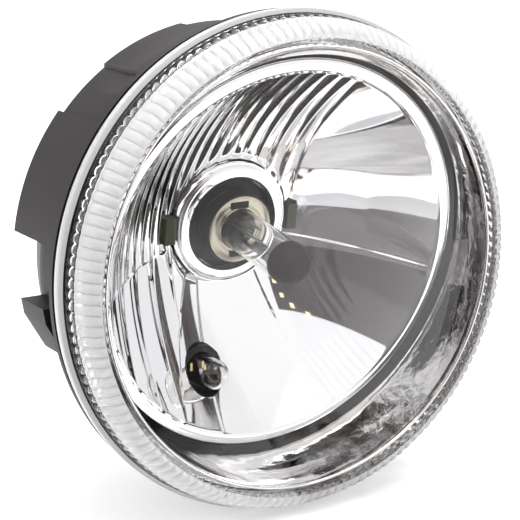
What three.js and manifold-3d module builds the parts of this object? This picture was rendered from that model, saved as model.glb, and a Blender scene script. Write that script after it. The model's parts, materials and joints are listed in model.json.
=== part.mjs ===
// A round vehicle front lamp: clear lens with a ribbed rim, faceted reflector on two ball pivots,
// twin-filament main bulb, small position lamp, aiming screw and a deep moulded rear housing.
// Millimetres, +Z up. The lamp faces -Y. The origin is on the rim's axis, at the back of its flange.
import * as THREE from 'three';
import { mergeVertices } from 'three/addons/utils/BufferGeometryUtils.js';
import Module from 'manifold-3d';

const wasm = await Module();
wasm.setup();

// Driving dimensions
const RIM_RADIUS = 90;            // lens flange, the widest round of the lamp
const FLANGE_THICKNESS = 3.2;
const LENS_WALL = 2.4;
const DOME_RADIUS = 81;           // where the smooth dome meets the ribbed shoulder
const DOME_EDGE_Y = -18.5;
const DOME_APEX_Y = -31;
const GAP = 0.3;                  // air left between touching pieces
const ROUND = 48;                 // sides of the large rings
const SMALL_ROUND = 20;           // sides of bulb-sized turned pieces
const TINY_ROUND = 8;             // sides of wires and screws

const LEDGE_RADIUS = 77.5;        // inner edge of the housing's front ledge
const LEDGE_Y = 2.5;
const PLASTIC_WALL = 2.5;
const BARREL_RADIUS = 81;
const BARREL_END_Y = 48.5;
const TAPER_START_Y = 30;         // behind here the lower barrel tapers in to the back wall
const TAPER_END_RADIUS = 74;
const NECK_RADIUS = 60;
const NECK_END_Y = 72;
const SERVICE_OPENING_RADIUS = 51;

const AXIS_DOWN = THREE.MathUtils.degToRad(9.6);   // the beam's axis against the rim's
const SEAT_Y = 40.3;              // centre of the bulb seat, where the optical frame sits
const SEAT_Z = 7.3;

// Sizes from here to the cap are in the optical frame, along and around the beam's axis.
const FOCAL_LENGTH = 26.5;
const VERTEX_DEPTH = 6.2;         // paraboloid's vertex behind the seat centre
const BOWL_RADIUS = 69;           // inner edge of the reflector's front lip
const LIP_RADIUS = 73.8;
const SKIRT_LENGTH = 10;
const REFLECTOR_WALL = 2.2;
const SEAT_HOLE_RADIUS = 20.2;
const BOSS_RADIUS = 24.5;
const BOSS_END = 8;               // bulb flange rests here, behind the seat centre
const CLIP_HINGE = { y: 11, z: 27 };
const CLIP_KEEPER_X = 18;
const TAB_X = 26;                 // the two rectangular clips beside the collar
const TAB_CLEARANCE = 0.3;
const GLASS_RADIUS = 7.75;
const GLASS_BASE = 1.3;
const GLASS_TIP = -50.1;
const CAP_FRONT = -8.4;
const CAP_RADIUS = 13.6;
const CAP_SHOULDER_RADIUS = 17.3;
const INSULATOR_FRONT = 14.3;
const BLADE_DEPTH = [18.5, 27];

const PIVOT_X = 64;
const PIVOT_Y = 24;
const PIVOT_Z = 12;
const SOCKET_FRONT = 18.7;
const BALL_RADIUS = 4;
const STUD_RADIUS = 2.25;
const AIM_Z = -66;
const AIM_NUT_FRONT = 24.8;
const AIM_SCREW_RADIUS = 2.8;

const POSITION_X = -17.6;         // the position lamp, low on the viewer's left
const POSITION_Z = -44.5;
const POSITION_BORE = 9;
const POSITION_TUBE_END = 40;
const VENT_X = 30;
const VENT_Z = 62;

const LUG_DEPTH = [12, 30];       // the three fixing lugs, front and back faces
const LUG_OUTER = 88.6;
const LUG_TOP_Z = -7.4;           // top of the two side lugs, whose undersides slope in to the barrel
const LUG_HALF_WIDTH = 9;         // of the bottom lug
const LUG_HOLE_RADIUS = 3;
const BUSH_BORE_RADIUS = 2.15;

// Materials
function material(color, roughness, metalness = 0, extra = {}) {
  return new THREE.MeshStandardMaterial({ color, roughness, metalness, ...extra });
}
const clearLens = () => material('#eef3f4', 0.05, 0, { transparent: true, opacity: 0.25 });
const clearGlass = () => material('#f2f0ea', 0.04, 0, { transparent: true, opacity: 0.35 });
const mirrorCoat = () => material('#d9dadd', 0.12, 1);
const darkPlastic = () => material('#4a4648', 0.55);
const blackPlastic = () => material('#1c1b1d', 0.5);
const blackRubber = () => material('#161616', 0.85);
const nickel = () => material('#b9b19a', 0.3, 1);
const steel = () => material('#9a9da1', 0.35, 1);
const brass = () => material('#b08d57', 0.35, 1);
const tungsten = () => material('#4b4a49', 0.45, 1);
const olivePlastic = () => material('#5d6048', 0.6);

// Geometry helpers
function signedVolume(geometry) {
  const p = geometry.attributes.position;
  const index = geometry.index;
  const a = new THREE.Vector3();
  const b = new THREE.Vector3();
  const c = new THREE.Vector3();
  let sum = 0;
  for (let i = 0; i < index.count; i += 3) {
    a.fromBufferAttribute(p, index.getX(i));
    b.fromBufferAttribute(p, index.getX(i + 1));
    c.fromBufferAttribute(p, index.getX(i + 2));
    sum += a.dot(b.cross(c)) / 6;
  }
  return sum;
}

// Welds shared vertices, drops triangles that have shrunk to a line and turns the faces outward.
function closed(geometry) {
  const bare = geometry.clone();
  bare.deleteAttribute('normal');
  bare.deleteAttribute('uv');
  const welded = mergeVertices(bare, 1e-4);
  const source = welded.index.array;
  const kept = [];
  for (let i = 0; i < source.length; i += 3) {
    const [a, b, c] = [source[i], source[i + 1], source[i + 2]];
    if (a !== b && b !== c && c !== a) kept.push(a, b, c);
  }
  welded.setIndex(kept);
  if (signedVolume(welded) < 0) {
    for (let i = 0; i < kept.length; i += 3) [kept[i + 1], kept[i + 2]] = [kept[i + 2], kept[i + 1]];
    welded.setIndex(kept);
  }
  return welded;
}

function toSolid(geometry) {
  const tidy = closed(geometry);
  const mesh = new wasm.Mesh({
    numProp: 3,
    vertProperties: Float32Array.from(tidy.attributes.position.array),
    triVerts: Uint32Array.from(tidy.index.array),
  });
  return new wasm.Manifold(mesh);
}

function fromSolid(solid) {
  const mesh = solid.getMesh();
  const geometry = new THREE.BufferGeometry();
  geometry.setAttribute('position', new THREE.BufferAttribute(new Float32Array(mesh.vertProperties), 3));
  geometry.setIndex(Array.from(mesh.triVerts));
  return geometry;
}

function cut(base, tools) {
  return fromSolid(tools.reduce((solid, tool) => solid.subtract(toSolid(tool)), toSolid(base)));
}

function join(base, others) {
  return fromSolid(others.reduce((solid, other) => solid.add(toSolid(other)), toSolid(base)));
}

// A body turned about the lamp's axis from [radius, y] pairs.
function turned(profile, sides = ROUND) {
  return closed(new THREE.LatheGeometry(profile.map(([r, y]) => new THREE.Vector2(r, y)), sides));
}

// A profile that closes on itself.
function ring(profile, sides = ROUND) {
  return turned([...profile, profile[0]], sides);
}

// A round bar along Y between two depths.
function bar(radius, y0, y1, sides = SMALL_ROUND, x = 0, z = 0) {
  const geometry = new THREE.CylinderGeometry(radius, radius, y1 - y0, sides);
  return geometry.translate(x, (y0 + y1) / 2, z);
}

function block([x0, x1], [y0, y1], [z0, z1]) {
  const geometry = new THREE.BoxGeometry(x1 - x0, y1 - y0, z1 - z0);
  return geometry.translate((x0 + x1) / 2, (y0 + y1) / 2, (z0 + z1) / 2);
}

function ball(radius, x, y, z, sides = 12) {
  return new THREE.SphereGeometry(radius, sides, sides / 2).translate(x, y, z);
}

// A wire through a list of points, with a ball at each bend.
function wire(points, radius) {
  const pieces = [];
  for (let i = 1; i < points.length; i += 1) {
    const from = new THREE.Vector3(...points[i - 1]);
    const to = new THREE.Vector3(...points[i]);
    const along = to.clone().sub(from);
    const rod = new THREE.CylinderGeometry(radius, radius, along.length(), TINY_ROUND);
    const turn = new THREE.Quaternion().setFromUnitVectors(new THREE.Vector3(0, 1, 0), along.normalize());
    rod.applyQuaternion(turn);
    rod.translate((from.x + to.x) / 2, (from.y + to.y) / 2, (from.z + to.z) / 2);
    pieces.push(rod);
  }
  for (const [x, y, z] of points.slice(1, -1)) pieces.push(ball(radius * 1.02, x, y, z, TINY_ROUND));
  return join(pieces[0], pieces.slice(1));
}

// A block of the barrel's ring between two radii, two depths and two angles seen from the front.
function ringBlock([r0, r1], [y0, y1], [startDegrees, endDegrees]) {
  const start = THREE.MathUtils.degToRad(startDegrees);
  const end = THREE.MathUtils.degToRad(endDegrees);
  const shape = new THREE.Shape();
  shape.absarc(0, 0, r1, start, end, false);
  shape.absarc(0, 0, r0, end, start, true);
  const sides = Math.max(3, Math.round((endDegrees - startDegrees) / 6));
  const geometry = new THREE.ExtrudeGeometry(shape, { depth: y1 - y0, bevelEnabled: false, curveSegments: sides });
  return geometry.rotateX(Math.PI / 2).translate(0, y1, 0);
}

// A body lofted around the axis: sectionAt(angle) gives one closed loop of [x, y, z] points.
function loftedRing(sectionAt, sides = ROUND) {
  const loops = Array.from({ length: sides }, (_, i) => sectionAt((i / sides) * 2 * Math.PI));
  const count = loops[0].length;
  const index = [];
  for (let i = 0; i < sides; i += 1) {
    const next = (i + 1) % sides;
    for (let j = 0; j < count; j += 1) {
      const k = (j + 1) % count;
      const [a, b, c, d] = [i * count + j, next * count + j, next * count + k, i * count + k];
      index.push(a, b, c, a, c, d);
    }
  }
  const geometry = new THREE.BufferGeometry();
  geometry.setAttribute('position', new THREE.Float32BufferAttribute(loops.flat(2), 3));
  geometry.setIndex(index);
  return closed(geometry);
}

// The optical frame: its origin is the centre of the bulb seat and its -Y is the beam's axis.
const optical = new THREE.Matrix4()
  .makeRotationX(AXIS_DOWN)
  .setPosition(0, SEAT_Y, SEAT_Z);

// Depth of the reflecting surface at a radius, in the optical frame.
function bowlDepth(radius) {
  return VERTEX_DEPTH - radius ** 2 / (4 * FOCAL_LENGTH);
}
const LIP_DEPTH = bowlDepth(BOWL_RADIUS);

function lens() {
  const dome = (apex, edgeRadius, edgeY, steps) => {
    const sag = edgeY - apex;
    const sphere = (edgeRadius ** 2 + sag ** 2) / (2 * sag);
    return Array.from({ length: steps + 1 }, (_, i) => {
      const r = (edgeRadius * i) / steps;
      return [r, apex + sphere - Math.sqrt(sphere ** 2 - r ** 2)];
    });
  };
  const innerEdge = DOME_RADIUS - 2;
  const outside = dome(DOME_APEX_Y, DOME_RADIUS, DOME_EDGE_Y, 5);
  const shoulder = [[84.6, -16.6], [86.8, -13.4], [87.8, -9.8], [88.4, -4.2]];
  const flange = [[RIM_RADIUS, -FLANGE_THICKNESS], [RIM_RADIUS, 0], [84.5, 0]];
  const inside = [[85.2, -4], [84.9, -8.5], [84, -11.8], [82, -14.4]];
  const innerDome = dome(DOME_APEX_Y + LENS_WALL, innerEdge, DOME_EDGE_Y + LENS_WALL, 5).reverse();
  return turned([...outside, ...shoulder, ...flange, ...inside, ...innerDome]);
}

function lensSeal() {
  const back = LEDGE_Y - GAP;
  return ring([[85, GAP], [89, GAP], [89, back], [85, back]]);
}

// Bright trim between the lens and the reflector's lip. Its front edge is square to the rim and its
// back edge is parallel to the tilted lip, so it is deepest at the bottom. A flat foot holds it.
const BEZEL_BACK_RADIUS = 75.4;
const BEZEL_BACK_AHEAD = 2;        // how far its back edge lies in front of the lip
function innerBezel() {
  const foot = LEDGE_Y - GAP;
  return loftedRing((angle) => {
    const [c, s] = [Math.cos(angle), Math.sin(angle)];
    const at = (r, y) => [r * c, y, r * s];
    const edge = new THREE.Vector3(BEZEL_BACK_RADIUS * c, LIP_DEPTH - BEZEL_BACK_AHEAD, BEZEL_BACK_RADIUS * s);
    edge.applyMatrix4(optical);
    const reach = Math.hypot(edge.x, edge.z);
    const thick = (reach + 1.3) / reach;
    return [
      at(77.5, -14.8), edge.toArray(), [edge.x * thick, edge.y, edge.z * thick], at(77, foot), at(83.8, foot),
      at(83.8, foot - 1.4), at(78.3, foot - 1.4), at(79, -14.4),
    ];
  });
}

// Centres of the three lug holes, as [x, z].
const LUG_CENTRES = [[-83.4, -11.6], [83.4, -11.6], [0, -84]];

function lugBlocks() {
  const [front, back] = LUG_DEPTH;
  const root = BARREL_RADIUS - 4;
  const sideLug = (side) => {
    const outline = [
      [root, LUG_TOP_Z], [LUG_OUTER, LUG_TOP_Z], [LUG_OUTER - 1, LUG_TOP_Z - 5.6],
      [BARREL_RADIUS - 1, LUG_TOP_Z - 18.6], [root, LUG_TOP_Z - 18.6],
    ];
    const shape = new THREE.Shape(outline.map(([x, z]) => new THREE.Vector2(side * x, z)));
    const prism = new THREE.ExtrudeGeometry(shape, { depth: back - front, bevelEnabled: false });
    return prism.rotateX(Math.PI / 2).translate(0, back, 0);
  };
  const bottomLug = block([-LUG_HALF_WIDTH, LUG_HALF_WIDTH], [front, back], [-LUG_OUTER, -root]);
  return [sideLug(-1), sideLug(1), bottomLug];
}

// Raised blocks on the upper barrel, and their mirror images: angles from the right-hand side and outer radius.
const RAISED_BLOCKS = [[140, 172, 83.5], [100, 124, 82.6]];
// The upper barrel keeps its full radius back to the wall.
const HOOD = { angles: [8, 172], radius: 81.5 };

// The moulded case: front flange and ledge, barrel with its raised blocks, back wall and neck.
function rearHousing() {
  const inner = BARREL_RADIUS - PLASTIC_WALL;
  const wallFront = BARREL_END_Y - PLASTIC_WALL;
  const neckInner = NECK_RADIUS - PLASTIC_WALL;
  const lipFront = NECK_END_Y - PLASTIC_WALL;
  const ledgeBack = LEDGE_Y + PLASTIC_WALL;
  const taperSlope = (BARREL_RADIUS - TAPER_END_RADIUS) / (BARREL_END_Y - TAPER_START_Y);
  const taperInner = BARREL_RADIUS - taperSlope * (wallFront - TAPER_START_Y) - PLASTIC_WALL * Math.hypot(1, taperSlope);
  const shell = ring([
    [LEDGE_RADIUS, LEDGE_Y], [89.4, LEDGE_Y], [89.4, ledgeBack], [BARREL_RADIUS, ledgeBack],
    [BARREL_RADIUS, TAPER_START_Y], [TAPER_END_RADIUS, BARREL_END_Y], [NECK_RADIUS, BARREL_END_Y],
    [NECK_RADIUS, NECK_END_Y], [SERVICE_OPENING_RADIUS, NECK_END_Y], [SERVICE_OPENING_RADIUS, lipFront],
    [neckInner, lipFront], [neckInner, wallFront], [taperInner, wallFront], [inner, TAPER_START_Y - 0.5],
    [inner, ledgeBack], [LEDGE_RADIUS, ledgeBack],
  ]);
  const cavity = turned([
    [0, LEDGE_Y], [inner, LEDGE_Y], [inner, TAPER_START_Y - 0.5], [taperInner, wallFront], [0, wallFront],
  ]);
  const depth = [8, BARREL_END_Y];
  const hood = cut(ringBlock([TAPER_END_RADIUS - 2, HOOD.radius], depth, HOOD.angles), [cavity]);
  const raised = RAISED_BLOCKS.flatMap(([from, to, radius]) => (
    [[from, to], [180 - to, 180 - from]].map((span) => ringBlock([BARREL_RADIUS - 1.5, radius], depth, span))
  ));
  const holes = [
    ...LUG_CENTRES.map(([x, z]) => bar(LUG_HOLE_RADIUS, 6, 36, 16, x, z)),
    ...[-PIVOT_X, PIVOT_X].map((x) => bar(STUD_RADIUS + GAP, 40, 60, TINY_ROUND, x, PIVOT_Z)),
    bar(4.9, 40, 60, 16, 0, AIM_Z),
    bar(3.3, 40, 60, TINY_ROUND, VENT_X, VENT_Z),
  ];
  return cut(join(shell, [hood, ...raised, ...lugBlocks()]), holes);
}

function lugBush() {
  const [front, back] = LUG_DEPTH;
  const outside = LUG_HOLE_RADIUS - GAP;
  return ring([[BUSH_BORE_RADIUS, front], [outside, front], [outside, back], [BUSH_BORE_RADIUS, back]], 12);
}

// Breather cap on the back wall: a stem in the wall under a mushroom head.
function ventCap() {
  const wallBack = BARREL_END_Y + GAP;
  return turned([
    [0, 44], [3, 44], [3, wallBack], [6.5, wallBack], [6.5, wallBack + 4], [5.3, wallBack + 5.4], [0, wallBack + 5.8],
  ], 20);
}

// A ball on a long stud, screwed into the back wall with a hexagon shoulder.
function pivotStud() {
  const stud = bar(STUD_RADIUS, PIVOT_Y + 2, BARREL_END_Y + 6, TINY_ROUND);
  const shoulder = bar(4.6, BARREL_END_Y - PLASTIC_WALL - GAP - 3, BARREL_END_Y - PLASTIC_WALL - GAP, 6);
  return join(ball(BALL_RADIUS, 0, PIVOT_Y, 0, 16), [stud, shoulder]);
}

function studNut() {
  const front = BARREL_END_Y + GAP;
  return cut(bar(4.4, front, front + 3.2, 6), [bar(STUD_RADIUS + GAP, front - 1, front + 5, TINY_ROUND)]);
}

function pivotSocket() {
  const body = block([-6, 6], [SOCKET_FRONT, PIVOT_Y + 5], [-6, 6]);
  return cut(body, [ball(BALL_RADIUS + 0.4, 0, PIVOT_Y, 0, 16), bar(3.4, PIVOT_Y, PIVOT_Y + 8, 16)]);
}

function aimNut() {
  const body = block([-6, 6], [AIM_NUT_FRONT, AIM_NUT_FRONT + 10], [AIM_Z - 6, AIM_Z + 6]);
  return cut(body, [bar(AIM_SCREW_RADIUS + 0.6, AIM_NUT_FRONT + 1.2, AIM_NUT_FRONT + 12, 16, 0, AIM_Z)]);
}

function screwBush() {
  const back = BARREL_END_Y + GAP;
  const front = BARREL_END_Y - PLASTIC_WALL - GAP;
  return ring([
    [3.2, front - 2], [6, front - 2], [6, front], [4.6, front], [4.6, back],
    [5.6, back], [5.6, back + 2], [3.2, back + 2],
  ], 16);
}

// Aiming screw: thread end in the nut, retaining collar inside the wall and a cross-slotted knob behind it.
function aimScrew() {
  const front = BARREL_END_Y - PLASTIC_WALL - 2 * GAP - 2;
  const knob = BARREL_END_Y + 2 * GAP + 2;
  const tip = AIM_NUT_FRONT + 5.4;
  const body = turned([
    [0, tip], [2.2, tip], [AIM_SCREW_RADIUS, tip + 1], [AIM_SCREW_RADIUS, front - 2], [4.2, front - 2], [4.2, front],
    [AIM_SCREW_RADIUS, front], [AIM_SCREW_RADIUS, knob], [5.6, knob], [5.6, knob + 5.5], [4.8, knob + 6.5], [0, knob + 6.5],
  ], 16);
  const slots = [block([-4, 4], [knob + 4.5, knob + 8], [-0.8, 0.8]), block([-0.8, 0.8], [knob + 4.5, knob + 8], [-4, 4])];
  return cut(body, slots);
}

// The space in front of the reflecting surface, used to trim what is joined to the bowl's back.
function bowlSpace() {
  const radii = [BOWL_RADIUS, 60, 50, 40, 30, SEAT_HOLE_RADIUS, 10, 0];
  const surface = radii.map((r) => [r, bowlDepth(r)]).reverse();
  return turned([...surface, [BOWL_RADIUS, LIP_DEPTH - 20], [0, LIP_DEPTH - 20]]).applyMatrix4(optical);
}

// The bowl: front surface, lip with its skirt, back surface and the boss behind the bulb hole.
function reflectorShell() {
  const radii = Array.from({ length: 8 }, (_, i) => THREE.MathUtils.lerp(SEAT_HOLE_RADIUS, BOWL_RADIUS, i / 7));
  const front = radii.map((r) => [r, bowlDepth(r)]);
  const skirtInner = LIP_RADIUS - 2;
  const lip = [
    [LIP_RADIUS, LIP_DEPTH], [LIP_RADIUS, LIP_DEPTH + SKIRT_LENGTH], [skirtInner, LIP_DEPTH + SKIRT_LENGTH],
    [skirtInner, LIP_DEPTH + REFLECTOR_WALL],
  ];
  const back = radii.slice(1, -1).reverse().map((r) => {
    const slope = r / (2 * FOCAL_LENGTH);
    const unit = REFLECTOR_WALL / Math.hypot(slope, 1);
    return [r + slope * unit, bowlDepth(r) + unit];
  });
  const boss = [[BOSS_RADIUS + 0.6, 5], [BOSS_RADIUS, BOSS_END], [SEAT_HOLE_RADIUS, BOSS_END]];
  return ring([...front, ...lip, ...back.filter(([r]) => r > BOSS_RADIUS + 2), ...boss]).applyMatrix4(optical);
}

// Flat pads on the bowl's back carry the two pivot sockets and the aiming nut.
function reflectorPads() {
  const socketPads = [-PIVOT_X, PIVOT_X].map((x) => (
    block([x - 6, x + 6], [6, SOCKET_FRONT - GAP], [PIVOT_Z - 6, PIVOT_Z + 6])
  ));
  return [...socketPads, block([-6, 6], [16, AIM_NUT_FRONT - GAP], [AIM_Z - 6, AIM_Z + 6])];
}

function reflector() {
  const space = bowlSpace();
  const tube = bar(POSITION_BORE + 2, 20, POSITION_TUBE_END, SMALL_ROUND, POSITION_X, POSITION_Z);
  const keepers = [-CLIP_KEEPER_X, CLIP_KEEPER_X].map((x) => (
    block([x - 2, x + 2], [-1, CLIP_HINGE.y + 2.5], [CLIP_HINGE.z - 2.5, CLIP_HINGE.z + 2.5])
  ));
  const hook = block([-6, 6], [0, 12.5], [-28.6, -25.2]);
  const seated = [...keepers, hook].map((piece) => piece.applyMatrix4(optical));
  const moulded = [tube, ...reflectorPads(), ...seated].map((piece) => cut(piece, [space]));
  const hingeBore = bar(1.2, -30, 30, TINY_ROUND).rotateZ(Math.PI / 2).translate(0, CLIP_HINGE.y, CLIP_HINGE.z);
  const holes = [
    bar(POSITION_BORE, 5, 50, SMALL_ROUND, POSITION_X, POSITION_Z),
    hingeBore.applyMatrix4(optical),
    ...[-1, 1].map((side) => tabSlot(side).applyMatrix4(optical)),
  ];
  return cut(join(reflectorShell(), moulded), holes);
}

// Bright ring around the bulb with a sleeve in the hole.
function bulbCollar() {
  return ring([
    [18, -2.6], [19, -3.4], [21.6, -3.4], [23.1, -2.4], [23.5, -1.2], [23.5, 0.6],
    [19.8, 0.6], [19.8, 5.5], [18, 5.5],
  ], 32);
}

// Slot beside the collar, and the rectangular clip that fills it.
function tabSlot(side) {
  const grow = TAB_CLEARANCE;
  const centre = side * TAB_X;
  return block([centre - 2 - grow, centre + 2 + grow], [-6, 7], [-5 - grow, 5 + grow]);
}
function collarTab() {
  return block([-2, 2], [-3.4, 4.5], [-5, 5]);
}

// Main bulb
function bulbFlange() {
  const plate = ring([[11, BOSS_END + GAP], [21.5, BOSS_END + GAP], [21.5, BOSS_END + 1.5], [11, BOSS_END + 1.5]], 32);
  const lugs = [90, 210, 330].map((degrees) => {
    const lug = block([19, 23.2], [BOSS_END + GAP + 0.05, BOSS_END + 1.45], [-3, 3]);
    return lug.rotateY(-THREE.MathUtils.degToRad(degrees));
  });
  return join(plate, lugs);
}
// Metal cap: a step in the collar, a drum standing in front of it and the glass's blind bore.
function bulbCap() {
  return turned([
    [0, GLASS_BASE + GAP], [GLASS_RADIUS + GAP, GLASS_BASE + GAP], [GLASS_RADIUS + GAP, CAP_FRONT],
    [CAP_RADIUS - 1, CAP_FRONT], [CAP_RADIUS, CAP_FRONT + 1], [CAP_RADIUS, 2.6], [CAP_SHOULDER_RADIUS, 2.6],
    [CAP_SHOULDER_RADIUS, BOSS_END], [10.7, BOSS_END], [10.7, INSULATOR_FRONT - GAP], [0, INSULATOR_FRONT - GAP],
  ], 28);
}
function bulbInsulator() {
  const back = BLADE_DEPTH[0] - GAP;
  return turned([[0, INSULATOR_FRONT], [10.2, INSULATOR_FRONT], [10.2, 17], [9, back], [0, back]], SMALL_ROUND);
}
const BULB_BLADES = [
  { name: 'bulb_blade_top', x: 0, z: 5, width: 8, height: 0.8 },
  { name: 'bulb_blade_left', x: -5.2, z: -2, width: 0.8, height: 8 },
  { name: 'bulb_blade_right', x: 5.2, z: -2, width: 0.8, height: 8 },
];
function bulbBlade({ x, z, width, height }) {
  return block([x - width / 2, x + width / 2], BLADE_DEPTH, [z - height / 2, z + height / 2]);
}
function glassShell(radius, wall, baseY, tipY) {
  const dome = (r, tip) => [0, 22, 45, 68, 90].map((degrees) => {
    const angle = THREE.MathUtils.degToRad(degrees);
    return [r * Math.sin(angle), tip + r * (1 - Math.cos(angle))];
  });
  const outer = dome(radius, tipY);
  const inner = dome(radius - wall, tipY + wall).reverse();
  return turned([...outer, [radius, baseY], [radius - wall, baseY], ...inner], SMALL_ROUND);
}
const bulbGlass = () => glassShell(GLASS_RADIUS, 0.8, GLASS_BASE, GLASS_TIP);
const SUPPORT_WIRES = [
  { name: 'filament_support_left', x: -3.2, z: 2.6, tip: -24.5 },
  { name: 'filament_support_middle', x: 0.6, z: -3.6, tip: -15.5 },
  { name: 'filament_support_right', x: 3.4, z: 2.6, tip: -18.5 },
];
const FILAMENTS = [
  { name: 'low_beam_filament', y: -20.8, z: 0.6 },
  { name: 'high_beam_filament', y: -12.6, z: 0.4 },
];
function filament() {
  return new THREE.CylinderGeometry(0.7, 0.7, 5, TINY_ROUND).toNonIndexed();
}
function beamShield() {
  const cup = ring([[3.1, -24.5], [3.7, -24.5], [3.7, -17], [3.1, -17]], SMALL_ROUND);
  return cut(cup, [block([-5, 5], [-26, -15], [-1.4, 5])]);
}

// Wire clip that presses the bulb's flange home; modelled about its hinge.
function bulbClip() {
  const legX = 14;
  const end = -51.2;
  const offset = -0.2;
  return wire([
    [-CLIP_KEEPER_X - 1.8, 0, 0], [-legX, 0, 0], [-legX, offset, end], [legX, offset, end], [legX, 0, 0],
    [CLIP_KEEPER_X + 1.8, 0, 0],
  ], 0.8);
}

// Position lamp, modelled about its own axis
const POSITION_GLASS_RADIUS = 5.7;
const POSITION_GLASS_BASE = 38.6;
const POSITION_GLASS_TIP = 15.9;
function positionHolder() {
  const flange = POSITION_TUBE_END + GAP;
  const sleeve = POSITION_BORE - 0.4;
  const bore = POSITION_GLASS_RADIUS + 0.4;
  const body = ring([
    [bore, 31], [sleeve, 31], [sleeve, flange], [12, flange], [12, flange + 2.5],
    [7, flange + 2.5], [6.6, flange + 6.5], [bore, flange + 6.5],
  ], SMALL_ROUND);
  const web = bar(6.3, POSITION_GLASS_BASE + 0.4, flange + 2, SMALL_ROUND);
  const grip = block([-1.6, 1.6], [flange, flange + 9], [-7.5, 7.5]);
  return cut(join(body, [web, grip]), [block([-9, 9], [flange + 7, flange + 10], [-2, 2])]);
}
const positionBulb = () => glassShell(POSITION_GLASS_RADIUS, 0.7, POSITION_GLASS_BASE, POSITION_GLASS_TIP);
function positionContact() {
  return block([-0.5, 0.5], [33, POSITION_GLASS_BASE], [-1.5, 1.5]);
}

// The assembly
const lamp = new THREE.Group();
function add(name, geometry, finish, parent = lamp, [x, y, z] = [0, 0, 0]) {
  const mesh = new THREE.Mesh(geometry, finish);
  mesh.name = name;
  mesh.position.set(x, y, z);
  parent.add(mesh);
  return mesh;
}

add('lens', lens(), clearLens());
add('lens_seal', lensSeal(), blackRubber());
add('inner_bezel', innerBezel(), mirrorCoat());
add('rear_housing', rearHousing(), darkPlastic());
['left', 'right', 'bottom'].forEach((side, i) => {
  const [x, z] = LUG_CENTRES[i];
  add(`lug_bush_${side}`, lugBush(), steel(), lamp, [x, 0, z]);
});
add('vent_cap', ventCap(), blackRubber(), lamp, [VENT_X, 0, VENT_Z]);
for (const [side, x] of [['left', -PIVOT_X], ['right', PIVOT_X]]) {
  add(`pivot_stud_${side}`, pivotStud(), steel(), lamp, [x, 0, PIVOT_Z]);
  add(`stud_nut_${side}`, studNut(), steel(), lamp, [x, 0, PIVOT_Z]);
  add(`pivot_socket_${side}`, pivotSocket(), blackPlastic(), lamp, [x, 0, PIVOT_Z]);
}
add('screw_bush', screwBush(), blackPlastic(), lamp, [0, 0, AIM_Z]);
add('aim_screw', aimScrew(), brass(), lamp, [0, 0, AIM_Z]);
add('aim_nut', aimNut(), blackPlastic());
add('reflector', reflector(), mirrorCoat());

const bulbSeat = new THREE.Group();
bulbSeat.position.set(0, SEAT_Y, SEAT_Z);
bulbSeat.rotation.x = AXIS_DOWN;
lamp.add(bulbSeat);
add('bulb_collar', bulbCollar(), mirrorCoat(), bulbSeat);
for (const [side, sign] of [['left', -1], ['right', 1]]) {
  add(`collar_tab_${side}`, collarTab(), olivePlastic(), bulbSeat, [sign * TAB_X, 0, 0]);
}
add('bulb_flange', bulbFlange(), nickel(), bulbSeat);
add('bulb_cap', bulbCap(), nickel(), bulbSeat);
add('bulb_insulator', bulbInsulator(), blackPlastic(), bulbSeat);
for (const blade of BULB_BLADES) add(blade.name, bulbBlade(blade), steel(), bulbSeat);
add('bulb_glass', bulbGlass(), clearGlass(), bulbSeat);
for (const { name, x, z, tip } of SUPPORT_WIRES) {
  add(name, bar(0.45, tip, GLASS_BASE, TINY_ROUND, x, z), tungsten(), bulbSeat);
}
for (const { name, y, z } of FILAMENTS) {
  const coil = add(name, filament(), tungsten(), bulbSeat, [0, y, z]);
  coil.rotation.z = name.startsWith('low') ? 0 : Math.PI / 2;
}
add('beam_shield', beamShield(), tungsten(), bulbSeat);
add('bulb_clip', bulbClip(), steel(), bulbSeat, [0, CLIP_HINGE.y, CLIP_HINGE.z]);

const positionLamp = new THREE.Group();
positionLamp.position.set(POSITION_X, 0, POSITION_Z);
lamp.add(positionLamp);
add('position_holder', positionHolder(), blackPlastic(), positionLamp);
add('position_bulb', positionBulb(), clearGlass(), positionLamp);
add('position_filament', filament().rotateZ(Math.PI / 2), tungsten(), positionLamp, [0, 23, 0]);
for (const [side, x] of [['left', -2.4], ['right', 2.4]]) {
  add(`position_contact_${side}`, positionContact(), brass(), positionLamp, [x, 0, 0]);
}

export default lamp;
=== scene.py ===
"""Looks of a round vehicle front lamp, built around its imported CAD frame.

Sizes are in millimetres and become metres in mesh_piece. The lamp faces -Y and its rim axis is Y.
"""
import json
import math
import bmesh
import bpy
import numpy as np
from mathutils import Matrix, Vector

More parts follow.
